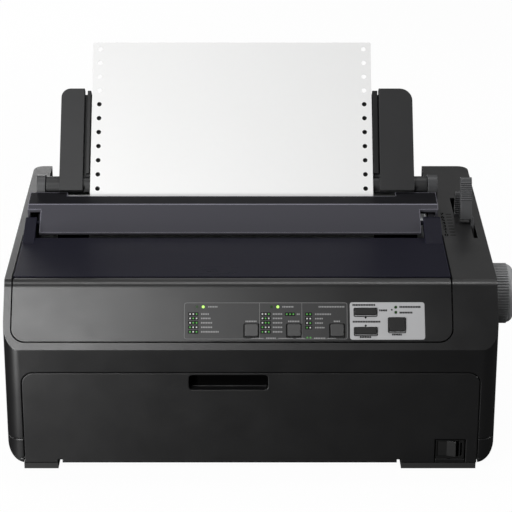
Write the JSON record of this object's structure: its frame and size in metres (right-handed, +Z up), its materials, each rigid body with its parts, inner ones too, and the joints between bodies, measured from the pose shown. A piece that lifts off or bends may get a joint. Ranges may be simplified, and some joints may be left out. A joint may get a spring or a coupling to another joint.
{
  "type": "dot matrix printer",
  "caption": "Impact printer with a hinged smoked cover, fold-down front cover, sloping key panel, fold-back paper guide, tractor feed and side feed knob.",
  "frame": {"origin": "on the desk, at the middle of the printer's outline seen from above, the feed knob included", "axes": "+X to the right of someone facing the printer, +Y to the back, +Z up"},
  "size_m": [0.417, 0.3541, 0.2929],
  "materials": {
    "case": "fine textured black moulding",
    "cover_panel": "fine textured black moulding",
    "foot": "dull black rubber",
    "panel": "satin black",
    "legend": "dark printed legend film",
    "key_plate": "mid grey film",
    "light": "clear green light pipe",
    "key": "dark grey key cap",
    "key_light": "grey key cap",
    "board": "green circuit board",
    "smoked": "smoked see-through plastic",
    "smoked_rear": "smoked plastic",
    "paper": "continuous paper",
    "guide": "fine textured dark grey",
    "lever": "mid grey",
    "knob": "dark grey",
    "steel": "bright steel",
    "plate_steel": "zinc plated sheet",
    "platen_rubber": "black rubber",
    "gear": "natural nylon",
    "brass": "plain brass",
    "motor": "dark plated can",
    "inner": "black inner moulding",
    "alloy": "dark cast alloy",
    "ribbon": "inked nylon ribbon",
    "belt": "black rubber belt",
    "socket": "black socket"
  },
  "bodies": {
    "chassis": {"lower_case": "case", "upper_case": "case", "feet": "foot", "control_panel": "panel", "legend_plate": "legend", "key_plate": "key_plate", "indicator_lights": "light", "panel_board": "board", "rear_cover": "smoked_rear", "paper": "paper", "guide_posts": "lever", "lever_pins": "steel", "shaft_bushes": "gear", "feed_motor": "motor", "side_frame_left": "plate_steel", "side_frame_right": "plate_steel", "base_plate": "plate_steel", "frame_screws": "steel", "guide_shafts": "steel", "front_rail": "plate_steel", "ribbon_cartridge": "inner", "ribbon": "ribbon", "carriage_motor": "motor", "timing_belt": "belt", "feed_ramp": "inner", "main_board": "board", "power_unit": "plate_steel", "power_inlet": "socket", "data_ports": "plate_steel", "power_switch": "socket"},
    "front_cover": {"front_cover": "cover_panel"},
    "printer_cover": {"printer_cover": "smoked"},
    "paper_guide": {"paper_guide": "guide"},
    "edge_guide_left": {"edge_guide_left": "guide"},
    "edge_guide_right": {"edge_guide_right": "guide"},
    "release_lever": {"release_lever": "lever"},
    "thickness_lever": {"thickness_lever": "lever"},
    "platen_roller": {"platen": "platen_rubber", "platen_shaft": "steel", "platen_gear": "gear", "feed_knob": "knob"},
    "feed_pinion": {"feed_pinion": "brass"},
    "pinch_rollers": {"pinch_rollers": "platen_rubber"},
    "head_carriage": {"carriage": "inner", "print_head": "alloy"},
    "ribbon_knob": {"ribbon_knob": "inner"},
    "drive_pulley": {"drive_pulley": "steel"},
    "idler_pulley": {"idler_pulley": "steel"},
    "tractor_shaft": {"tractor_shaft": "steel"},
    "tractor_left": {"tractor_left": "inner"},
    "tractor_right": {"tractor_right": "inner"},
    "tractor_flap_left": {"tractor_flap_left": "inner"},
    "tractor_flap_right": {"tractor_flap_right": "inner"},
    "key_left": {"key_left": "key"},
    "key_middle": {"key_middle": "key"},
    "key_right": {"key_right": "key"},
    "key_load": {"key_load": "key_light"},
    "key_feed": {"key_feed": "key_light"},
    "key_pause": {"key_pause": "key_light"},
    "power_rocker": {"power_rocker": "key"}
  },
  "joints": [
    {"name": "front_cover_hinge", "type": "hinge", "parent": "chassis", "child": "front_cover", "pos_m": [-0.0125, -0.1737, 0.0095], "axis": [1, 0, 0], "range_deg": [0, 88]},
    {"name": "printer_cover_hinge", "type": "hinge", "parent": "chassis", "child": "printer_cover", "pos_m": [-0.0125, -0.045, 0.1645], "axis": [-1, 0, 0], "range_deg": [0, 95]},
    {"name": "paper_guide_pivot", "type": "hinge", "parent": "chassis", "child": "paper_guide", "pos_m": [-0.0125, -0.0015, 0.1835], "axis": [-1, 0, 0], "range_deg": [0, 40]},
    {"name": "edge_guide_left_slide", "type": "slide", "parent": "paper_guide", "child": "edge_guide_left", "axis": [1, 0, 0], "range_m": [-0.002, 0.06]},
    {"name": "edge_guide_right_slide", "type": "slide", "parent": "paper_guide", "child": "edge_guide_right", "axis": [1, 0, 0], "range_m": [-0.1, 0.0008]},
    {"name": "release_lever_pivot", "type": "hinge", "parent": "chassis", "child": "release_lever", "pos_m": [0.1749, -0.0446, 0.125], "axis": [1, 0, 0], "range_deg": [0, 38]},
    {"name": "thickness_lever_pivot", "type": "hinge", "parent": "chassis", "child": "thickness_lever", "pos_m": [0.1637, -0.016, 0.125], "axis": [-1, 0, 0], "range_deg": [0, 36]},
    {"name": "platen_turn", "type": "hinge", "parent": "chassis", "child": "platen_roller", "pos_m": [-0.0125, -0.0525, 0.1044], "axis": [1, 0, 0], "continuous": true},
    {"name": "pinion_turn", "type": "hinge", "parent": "chassis", "child": "feed_pinion", "pos_m": [0.1455, -0.03193, 0.07989], "axis": [1, 0, 0], "continuous": true},
    {"name": "pinch_turn", "type": "hinge", "parent": "chassis", "child": "pinch_rollers", "pos_m": [-0.0125, -0.0619, 0.08812], "axis": [1, 0, 0], "continuous": true},
    {"name": "tractor_shaft_turn", "type": "hinge", "parent": "chassis", "child": "tractor_shaft", "pos_m": [-0.0125, 0.057, 0.13], "axis": [1, 0, 0], "continuous": true},
    {"name": "carriage_slide", "type": "slide", "parent": "chassis", "child": "head_carriage", "axis": [1, 0, 0], "range_m": [-0.026, 0.205]},
    {"name": "drive_pulley_turn", "type": "hinge", "parent": "chassis", "child": "drive_pulley", "pos_m": [-0.1625, -0.111, 0.078], "axis": [0, 0, 1], "range_deg": [-1351, 172]},
    {"name": "idler_pulley_turn", "type": "hinge", "parent": "chassis", "child": "idler_pulley", "pos_m": [0.1224, -0.111, 0.078], "axis": [0, 0, 1], "range_deg": [-1351, 172]},
    {"name": "ribbon_knob_turn", "type": "hinge", "parent": "chassis", "child": "ribbon_knob", "pos_m": [-0.1545, -0.125, 0.138], "axis": [0, 0, 1], "continuous": true},
    {"name": "tractor_left_slide", "type": "slide", "parent": "chassis", "child": "tractor_left", "axis": [1, 0, 0], "range_m": [-0.02, 0.03]},
    {"name": "tractor_right_slide", "type": "slide", "parent": "chassis", "child": "tractor_right", "axis": [1, 0, 0], "range_m": [-0.05, 0.02]},
    {"name": "tractor_flap_left_hinge", "type": "hinge", "parent": "tractor_left", "child": "tractor_flap_left", "pos_m": [-0.154, 0.057, 0.1398], "axis": [0, -1, 0], "range_deg": [0, 100]},
    {"name": "tractor_flap_right_hinge", "type": "hinge", "parent": "tractor_right", "child": "tractor_flap_right", "pos_m": [0.0962, 0.057, 0.1398], "axis": [0, 1, 0], "range_deg": [0, 100]},
    {"name": "power_rocker_turn", "type": "hinge", "parent": "chassis", "child": "power_rocker", "pos_m": [0.1458, -0.169, 0.0175], "axis": [0, 0, 1], "range_deg": [0, 20.4]},
    {"name": "key_left_press", "type": "slide", "parent": "chassis", "child": "key_left", "axis": [0, 0.8202, -0.5721], "range_m": [0, 0.001], "stiffness_N_per_m": 800, "springref_m": -0.0005},
    {"name": "key_middle_press", "type": "slide", "parent": "chassis", "child": "key_middle", "axis": [0, 0.8202, -0.5721], "range_m": [0, 0.001], "stiffness_N_per_m": 800, "springref_m": -0.0005},
    {"name": "key_right_press", "type": "slide", "parent": "chassis", "child": "key_right", "axis": [0, 0.8202, -0.5721], "range_m": [0, 0.001], "stiffness_N_per_m": 800, "springref_m": -0.0005},
    {"name": "key_load_press", "type": "slide", "parent": "chassis", "child": "key_load", "axis": [0, 0.8202, -0.5721], "range_m": [0, 0.001], "stiffness_N_per_m": 800, "springref_m": -0.0005},
    {"name": "key_feed_press", "type": "slide", "parent": "chassis", "child": "key_feed", "axis": [0, 0.8202, -0.5721], "range_m": [0, 0.001], "stiffness_N_per_m": 800, "springref_m": -0.0005},
    {"name": "key_pause_press", "type": "slide", "parent": "chassis", "child": "key_pause", "axis": [0, 0.8202, -0.5721], "range_m": [0, 0.001], "stiffness_N_per_m": 800, "springref_m": -0.0005}
  ],
  "couplings": [
    {"joint": "pinion_turn", "follows": "platen_turn", "ratio": -3},
    {"joint": "pinch_turn", "follows": "platen_turn", "ratio": -2.7},
    {"joint": "tractor_shaft_turn", "follows": "platen_turn", "ratio": -1.32},
    {"joint": "drive_pulley_turn", "follows": "carriage_slide", "rad_per_m": -114.94},
    {"joint": "idler_pulley_turn", "follows": "carriage_slide", "rad_per_m": -114.94}
  ]
}
